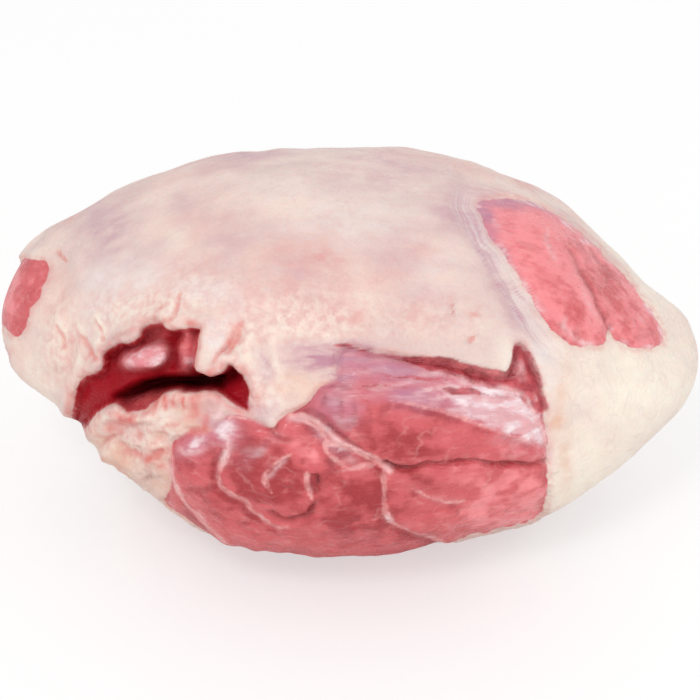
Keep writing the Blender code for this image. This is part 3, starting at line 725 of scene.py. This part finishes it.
def leg_skin():
    """The leg's skin as one closed mesh, with the marks kept as attributes, and how far it was recentred."""
    points, quads = ball(SKIN_CELLS)
    places, out = plain_body(points)
    at = measured(places, out)
    final = places + out * (relief(at) * MM)[:, None] + (pocket(at) * MM)[:, None] * INTO_POCKET
    final[:, 2] = np.maximum(final[:, 2], 0)
    middle = (final.min(axis=0) + final.max(axis=0)) / 2
    middle[2] = 0
    final -= middle
    data = bpy.data.meshes.new("lamb_skin")
    data.vertices.add(len(final))
    data.vertices.foreach_set("co", final.astype(np.float32).ravel())
    data.loops.add(quads.size)
    data.loops.foreach_set("vertex_index", quads.astype(np.int32).ravel())
    data.polygons.add(len(quads))
    data.polygons.foreach_set("loop_start", np.arange(0, quads.size, 4, dtype=np.int32))
    data.update(calc_edges=True)
    data.shade_smooth()
    for name, values in marks(at).items():
        layer = data.attributes.new(name, "FLOAT", "POINT")
        layer.data.foreach_set("value", values.astype(np.float32))
    skin = bpy.data.objects.new("lamb_skin", data)
    bpy.context.scene.collection.objects.link(skin)
    return skin, middle


# ---------------------------------------------------------------- wiring of materials

def feed(tree, socket, value):
    """Links a socket to another, or sets it to a plain value."""
    if isinstance(value, bpy.types.NodeSocket):
        tree.links.new(value, socket)
    else:
        socket.default_value = value


def add(tree, kind, inputs=(), **settings):
    """A new node with its settings and inputs."""
    node = tree.nodes.new(kind)
    for name, value in settings.items():
        setattr(node, name, value)
    for name, value in dict(inputs).items():
        feed(tree, node.inputs[name], value)
    return node


def mixed(tree, share, first, second, blend="MIX"):
    """A colour blended from two by a share."""
    return add(tree, "ShaderNodeMix", {0: share, 6: first, 7: second}, data_type="RGBA", blend_type=blend).outputs[2]


def sums(tree, operation, *values):
    """The result of one Math node."""
    return add(tree, "ShaderNodeMath", dict(enumerate(values)), operation=operation).outputs[0]


def ramped(tree, value, low, high, start=0.0, end=1.0):
    """A smooth rise from start to end as the value goes from low to high."""
    sizes = {"Value": value, "From Min": low, "From Max": high, "To Min": start, "To Max": end}
    return add(tree, "ShaderNodeMapRange", sizes, interpolation_type="SMOOTHSTEP").outputs["Result"]


def mark(tree, name):
    """One of the skin's marks."""
    return add(tree, "ShaderNodeAttribute", attribute_name=name).outputs["Fac"]


def colour(red, green, blue):
    return (red, green, blue, 1.0)


def new_group(name, inputs, outputs):
    """An empty shader node group, with its input and output nodes. Inputs are (name, kind, default)."""
    group = bpy.data.node_groups.new(name, "ShaderNodeTree")
    for label, kind, default in inputs:
        group.interface.new_socket(label, in_out="INPUT", socket_type=kind).default_value = default
    for label, kind in outputs:
        group.interface.new_socket(label, in_out="OUTPUT", socket_type=kind)
    return group, group.nodes.new("NodeGroupInput").outputs, group.nodes.new("NodeGroupOutput").inputs


def mottle_group():
    """Cloudy lumps between 0 and 1: noise on object coordinates, stretched along X, with a set contrast."""
    group, given, made = new_group(
        "mottle",
        [("Size", "NodeSocketFloat", 0.005), ("Stretch", "NodeSocketVector", (1, 1, 1)),
         ("Detail", "NodeSocketFloat", 3.0), ("Contrast", "NodeSocketFloat", 0.2)],
        [("Value", "NodeSocketFloat")])
    place = add(group, "ShaderNodeTexCoord").outputs["Object"]
    bent = add(group, "ShaderNodeVectorMath", {0: place, 1: given["Stretch"]}, operation="MULTIPLY").outputs[0]
    scale = sums(group, "DIVIDE", 1.0, given["Size"])
    cloud = add(group, "ShaderNodeTexNoise", {"Vector": bent, "Scale": scale, "Detail": given["Detail"]}).outputs[0]
    low = sums(group, "SUBTRACT", 0.5, given["Contrast"])
    high = sums(group, "ADD", 0.5, given["Contrast"])
    feed(group, made["Value"], ramped(group, cloud, low, high))
    return group


def edge_group():
    """A ragged edge: 0 to 1 where a distance in millimetres, shifted by noise, passes zero."""
    group, given, made = new_group(
        "ragged_edge",
        [("Distance", "NodeSocketFloat", 0.0), ("Size", "NodeSocketFloat", 0.002),
         ("Reach", "NodeSocketFloat", 0.5), ("Softness", "NodeSocketFloat", 0.3)],
        [("Mask", "NodeSocketFloat")])
    place = add(group, "ShaderNodeTexCoord").outputs["Object"]
    scale = sums(group, "DIVIDE", 1.0, given["Size"])
    cloud = add(group, "ShaderNodeTexNoise", {"Vector": place, "Scale": scale, "Detail": 3.0}).outputs[0]
    shift = sums(group, "MULTIPLY", sums(group, "SUBTRACT", cloud, 0.5), sums(group, "MULTIPLY", given["Reach"], 2.0))
    moved = sums(group, "ADD", given["Distance"], shift)
    low = sums(group, "MULTIPLY", given["Softness"], -1.0)
    feed(group, made["Mask"], ramped(group, moved, low, given["Softness"]))
    return group


def thread_group():
    """Thin curving lines between 0 and 1, where noise read at a place crosses its middle value."""
    group, given, made = new_group(
        "threads",
        [("Place", "NodeSocketVector", (0, 0, 0)), ("Size", "NodeSocketFloat", 0.004),
         ("Width", "NodeSocketFloat", 0.05), ("Detail", "NodeSocketFloat", 2.0)],
        [("Value", "NodeSocketFloat")])
    scale = sums(group, "DIVIDE", 1.0, given["Size"])
    inputs = {"Vector": given["Place"], "Scale": scale, "Detail": given["Detail"]}
    cloud = add(group, "ShaderNodeTexNoise", inputs).outputs[0]
    gap = sums(group, "ABSOLUTE", sums(group, "SUBTRACT", cloud, 0.5))
    feed(group, made["Value"], ramped(group, gap, 0.0, given["Width"], 1.0, 0.0))
    return group


MOTTLE, EDGE, THREADS = mottle_group(), edge_group(), thread_group()


def mottle(tree, size, contrast=0.2, detail=3.0, stretch=(1, 1, 1)):
    given = {"Size": size, "Contrast": contrast, "Detail": detail, "Stretch": stretch}
    return placed(tree, MOTTLE, given)


def placed(tree, group, given):
    """A node group placed in a material with its own values, and its first output."""
    node = tree.nodes.new("ShaderNodeGroup")
    node.node_tree = group
    for name, value in given.items():
        feed(tree, node.inputs[name], value)
    return node.outputs[0]


def threads(tree, size, width=0.05, stretch=(1, 1, 1), detail=2.0, place=None):
    """Thin lines on object coordinates stretched by three shares, or on a place of their own."""
    if place is None:
        here = add(tree, "ShaderNodeTexCoord").outputs["Object"]
        place = add(tree, "ShaderNodeVectorMath", {0: here, 1: stretch}, operation="MULTIPLY").outputs[0]
    return placed(tree, THREADS, {"Place": place, "Size": size, "Width": width, "Detail": detail})


def edge(tree, distance, size=0.002, reach_mm=0.5, softness=0.3):
    given = {"Distance": distance, "Size": size, "Reach": reach_mm, "Softness": softness}
    return placed(tree, EDGE, given)


# ---------------------------------------------------------------- finishes

FAT_PALE = colour(0.72, 0.545, 0.51)
FAT_WARM = colour(0.86, 0.69, 0.61)
FAT_CREAM = colour(0.97, 0.87, 0.75)
FAT_PINK = colour(0.78, 0.44, 0.40)
FAT_LILAC = colour(0.62, 0.39, 0.42)
FAT_WHITE = colour(0.84, 0.76, 0.75)
FAT_TAN = colour(0.80, 0.48, 0.34)
FAT_BLUSH = colour(0.74, 0.25, 0.22)
FILM_PLUM = colour(0.52, 0.20, 0.29)
LEAN_DARK = colour(0.40, 0.04, 0.048)
LEAN_PLAIN = colour(0.65, 0.118, 0.13)
LEAN_PALE = colour(0.92, 0.28, 0.30)
SILVER_PALE = colour(0.92, 0.76, 0.78)
SILVER_DIM = colour(0.60, 0.27, 0.34)
SEAM_PALE = colour(0.88, 0.44, 0.42)
STROKE_RED = colour(0.72, 0.15, 0.13)
STROKE_PALE = colour(0.93, 0.66, 0.66)
# Dark red of the dark strokes, partly the meat's own colour and partly painted shade
DARK_RED_AND_SHADE = colour(0.24, 0.016, 0.024)
STRIP_DEEP = colour(0.34, 0.03, 0.042)
STRIP_RED = colour(0.62, 0.10, 0.12)
FILM_VEIL = colour(0.53, 0.25, 0.32)
# Deep red inside the pocket, partly the wet meat's own colour and partly painted shade of the hollow
WET_SHADE_RED = colour(0.36, 0.008, 0.016)
# Black red of the painted shade in the slit, grooves, crack and creases
SHADE_BLACK_RED = colour(0.16, 0.003, 0.006)


def tinted(tree, base, name, tint, size, least):
    """The base colour with a mark's tint over it, broken up by lumps between which `least` of it is left."""
    broken = ramped(tree, mottle(tree, size, 0.2, 5.0, (0.6, 1, 1)), 0.0, 1.0, least, 1.0)
    return mixed(tree, sums(tree, "MULTIPLY", mark(tree, name), broken), base, tint)


def fat_colour(tree):
    """Cream fat with tinted patches, lumps of white fat with pink between them, and fine lilac veins."""
    clouds = mottle(tree, 0.013, 0.2, 5.0, (0.6, 1, 1))
    base = mixed(tree, clouds, FAT_PALE, FAT_WARM)
    base = mixed(tree, mark(tree, "cream"), base, FAT_CREAM)
    for name, tint, size, least in (
        ("pink", FAT_PINK, 0.008, 0.45),
        ("lilac", FAT_LILAC, 0.007, 0.45),
        ("white", FAT_WHITE, 0.005, 0.3),
    ):
        base = tinted(tree, base, name, tint, size, least)
    lumps = mottle(tree, 0.0026, 0.24, 3.5)
    grainy = mark(tree, "grainy")
    base = mixed(tree, sums(tree, "MULTIPLY", grainy, ramped(tree, lumps, 0, 1, 0.6, 0.0)), base, FAT_PINK)
    base = mixed(tree, sums(tree, "MULTIPLY", grainy, ramped(tree, lumps, 0, 1, 0.0, 0.5)), base, FAT_CREAM)
    base = tinted(tree, base, "tan", FAT_TAN, 0.005, 0.4)
    base = tinted(tree, base, "blush", FAT_BLUSH, 0.0035, 0.2)
    veins = sums(tree, "MULTIPLY", threads(tree, 0.011, 0.02), 0.15)
    base = mixed(tree, veins, base, FAT_LILAC)
    near, lines = strands(tree)
    base = mixed(tree, sums(tree, "MULTIPLY", near, 0.6), base, FAT_WHITE)
    return mixed(tree, sums(tree, "MULTIPLY", near, lines), base, FAT_LILAC)


def strands(tree):
    """The film beside the window: where it lies, and the lilac lines in it that run along its edge."""
    out = mark(tree, "window")
    up = add(tree, "ShaderNodeSeparateXYZ", {0: add(tree, "ShaderNodeTexCoord").outputs["Object"]}).outputs[2]
    place = add(tree, "ShaderNodeCombineXYZ", {0: out, 1: sums(tree, "MULTIPLY", up, 90.0)}).outputs[0]
    lines = threads(tree, 2.6, 0.07, detail=3.0, place=place)
    near = sums(tree, "MULTIPLY", ramped(tree, out, -10.0, -6.0), ramped(tree, out, -0.8, 0.0, 1.0, 0.0))
    return sums(tree, "MULTIPLY", near, mark(tree, "lilac")), lines


def lean_colour(tree):
    """Red muscle, darker or paler by its tone, with fine fibres, pale flecks and a film in places."""
    fibre = mottle(tree, 0.0022, 0.22, 3.0, (0.25, 1, 1))
    cloud = mottle(tree, 0.007, 0.2, 4.0)
    tone = sums(tree, "ADD", mark(tree, "tone"), ramped(tree, cloud, 0, 1, -0.15, 0.15))
    tone = sums(tree, "ADD", tone, ramped(tree, fibre, 0, 1, -0.07, 0.07))
    base = mixed(tree, ramped(tree, tone, 0.0, 0.5), LEAN_DARK, LEAN_PLAIN)
    base = mixed(tree, ramped(tree, tone, 0.5, 1.0), base, LEAN_PALE)
    flecks = sums(tree, "MULTIPLY", threads(tree, 0.006, 0.05, (0.55, 1, 1)), mottle(tree, 0.010, 0.12))
    base = mixed(tree, sums(tree, "MULTIPLY", flecks, 0.2), base, SEAM_PALE)
    streak = mottle(tree, 0.0028, 0.18, 4.0, (0.22, 1, 1))
    plum = sums(tree, "MULTIPLY", mark(tree, "plum"), ramped(tree, streak, 0, 1, 1.0, 0.6))
    base = mixed(tree, plum, base, FILM_PLUM)
    whiter = ramped(tree, mark(tree, "film"), 0.6, 1.0, 0.0, 0.8)
    silver = mixed(tree, sums(tree, "MAXIMUM", streak, whiter), SILVER_DIM, SILVER_PALE)
    film = sums(tree, "MULTIPLY", mark(tree, "film"), ramped(tree, streak, 0, 1, 0.5, 1.0))
    return mixed(tree, film, base, silver)


def raw_lamb():
    """The finish of the whole skin. The marks say where each colour lies."""
    material = bpy.data.materials.new("raw_lamb_skin")
    material.use_nodes = True
    tree = material.node_tree
    shader = tree.nodes["Principled BSDF"]
    softness = ramped(tree, mark(tree, "soft"), 0, 1, 0.3, 1.6)
    lean_mask = edge(tree, mark(tree, "lean"), 0.003, 0.6, softness)
    lean = lean_colour(tree)
    seam = edge(tree, mark(tree, "seam"), 0.0022, 0.9, 0.55)
    patchy = ramped(tree, mottle(tree, 0.0035, 0.2, 4.0), 0, 1, 0.35, 0.85)
    lean = mixed(tree, sums(tree, "MULTIPLY", seam, patchy), lean, SEAM_PALE)
    # The pocket's inside: the wet meat's own deep red together with painted shade of the hollow
    lean = mixed(tree, mark(tree, "wet_and_shade"), lean, WET_SHADE_RED)
    whole = mixed(tree, lean_mask, fat_colour(tree), lean)
    streak = ramped(tree, mottle(tree, 0.0026, 0.2, 3.0, (0.25, 1, 1)), 0, 1, 0.35, 1.0)
    whole = mixed(tree, sums(tree, "MULTIPLY", mark(tree, "veil"), streak), whole, FILM_VEIL)
    strip = sums(tree, "MULTIPLY", edge(tree, mark(tree, "strip"), 0.003, 0.8, 0.5), 0.85)
    meat = mixed(tree, mottle(tree, 0.004, 0.15, 4.0), STRIP_DEEP, STRIP_RED)
    whole = mixed(tree, strip, whole, meat)
    for name, tint, size, least in (
        ("lilac_line", FILM_VEIL, 0.003, 0.3),
        ("red", STROKE_RED, 0.002, 0.7),
        # Pale strokes: white film, partly painted highlights
        ("pale", STROKE_PALE, 0.0025, 0.35),
        # Dark red strokes: dark meat together with painted shade
        ("dark_red_and_shade", DARK_RED_AND_SHADE, 0.003, 0.5),
    ):
        whole = tinted(tree, whole, name, tint, size, least)
    # Pink in the nicks, partly painted shade in their grooves
    nick = edge(tree, mark(tree, "nick"), 0.002, 0.9, 0.8)
    whole = mixed(tree, sums(tree, "MULTIPLY", nick, 0.7), whole, FAT_BLUSH)
    # Painted shade darkens the slit, grooves, crack, crescent and creases towards black red
    whole = mixed(tree, mark(tree, "painted_shade"), whole, SHADE_BLACK_RED)
    feed(tree, shader.inputs["Base Color"], whole)
    gloss = mottle(tree, 0.004, 0.25, 3.0)
    fat_rough = ramped(tree, gloss, 0, 1, 0.30, 0.50)
    lean_rough = ramped(tree, gloss, 0, 1, 0.24, 0.40)
    rough = add(tree, "ShaderNodeMix", {0: lean_mask, 2: fat_rough, 3: lean_rough}, data_type="FLOAT").outputs[0]
    feed(tree, shader.inputs["Roughness"], rough)
    fine = mottle(tree, 0.0018, 0.3, 3.0)
    fibre = mottle(tree, 0.0012, 0.3, 2.0, (0.3, 1, 1))
    grain = add(tree, "ShaderNodeMix", {0: lean_mask, 2: fine, 3: fibre}, data_type="FLOAT").outputs[0]
    bump = add(tree, "ShaderNodeBump", {"Height": grain, "Distance": 0.0003, "Strength": 0.7})
    feed(tree, shader.inputs["Normal"], bump.outputs[0])
    feed(tree, shader.inputs["Specular IOR Level"], ramped(tree, mark(tree, "wet_and_shade"), 0, 1, 0.5, 0.15))
    shader.inputs["Subsurface Weight"].default_value = 0.12
    shader.inputs["Subsurface Radius"].default_value = (1.0, 0.35, 0.25)
    shader.inputs["Subsurface Scale"].default_value = 0.003
    shader.inputs["IOR"].default_value = 1.39
    return material


# ---------------------------------------------------------------- floor, light and camera

def pale_floor():
    """A plain white floor, which throws only part of its light back on the leg.

    To the camera it glows a little, so that it stays white with a light shadow under the leg.
    """
    data = bpy.data.meshes.new("floor")
    size = 4.0
    data.from_pydata([(-size, -size, 0), (size, -size, 0), (size, size, 0), (-size, size, 0)], [], [(0, 1, 2, 3)])
    floor = bpy.data.objects.new("floor", data)
    bpy.context.scene.collection.objects.link(floor)
    material = bpy.data.materials.new("pale_floor")
    material.use_nodes = True
    tree = material.node_tree
    shader = tree.nodes["Principled BSDF"]
    seen = add(tree, "ShaderNodeLightPath").outputs["Is Camera Ray"]
    feed(tree, shader.inputs["Base Color"], mixed(tree, seen, colour(0.85, 0.85, 0.85), colour(0.5, 0.5, 0.5)))
    shader.inputs["Emission Color"].default_value = colour(1, 1, 1)
    feed(tree, shader.inputs["Emission Strength"], sums(tree, "MULTIPLY", seen, 0.52))
    shader.inputs["Roughness"].default_value = 0.9
    shader.inputs["Specular IOR Level"].default_value = 0.0
    data.materials.append(material)


def soft_light(name, place, size, power):
    """A square soft box aimed at the leg's middle."""
    light = bpy.data.lights.new(name, "AREA")
    light.energy, light.size = power, size
    lamp = bpy.data.objects.new(name, light)
    lamp.location = place
    lamp.rotation_euler = (Vector((0, 0, 0.05)) - Vector(place)).to_track_quat("-Z", "Y").to_euler()
    bpy.context.scene.collection.objects.link(lamp)


def white_world(strength):
    """Even white light from all round, which the camera sees as plain white."""
    world = bpy.data.worlds.new("studio")
    bpy.context.scene.world = world
    world.use_nodes = True
    tree = world.node_tree
    paths = add(tree, "ShaderNodeLightPath").outputs
    seen = sums(tree, "MAXIMUM", sums(tree, "MAXIMUM", paths["Is Camera Ray"], paths["Is Glossy Ray"]),
                paths["Is Transmission Ray"])
    level = add(tree, "ShaderNodeMix", {0: seen, 2: strength, 3: 1.0}, data_type="FLOAT").outputs[0]
    back = tree.nodes["Background"]
    back.inputs["Color"].default_value = colour(1, 1, 1)
    feed(tree, back.inputs["Strength"], level)


def camera(shift):
    """A long lens in front of the leg, looking down at the card's lean."""
    lens = bpy.data.cameras.new("camera")
    lens.sensor_width, lens.lens = 36.0, 100.0
    eye = bpy.data.objects.new("camera", lens)
    eye.location = Vector(EYE - shift)
    eye.rotation_euler = (np.pi / 2 - CARD_LEAN, 0, 0)
    bpy.context.scene.collection.objects.link(eye)
    bpy.context.scene.camera = eye


skin, shift = leg_skin()
skin.data.materials.append(raw_lamb())
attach(skin, "root")
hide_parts("lamb_leg")

pale_floor()
soft_light("key", (-0.25, -0.70, 0.95), 0.25, 2.4)
soft_light("side", (0.90, -0.60, 0.50), 0.5, 1.1)
soft_light("left", (-1.00, -0.60, 0.50), 0.5, 0.7)
soft_light("back", (0.25, 1.00, 0.80), 0.5, 0.85)
soft_light("low", (0.10, -1.10, 0.30), 0.5, 1.0)
white_world(0.78)
camera(shift)
bpy.context.scene.view_settings.view_transform = "Standard"
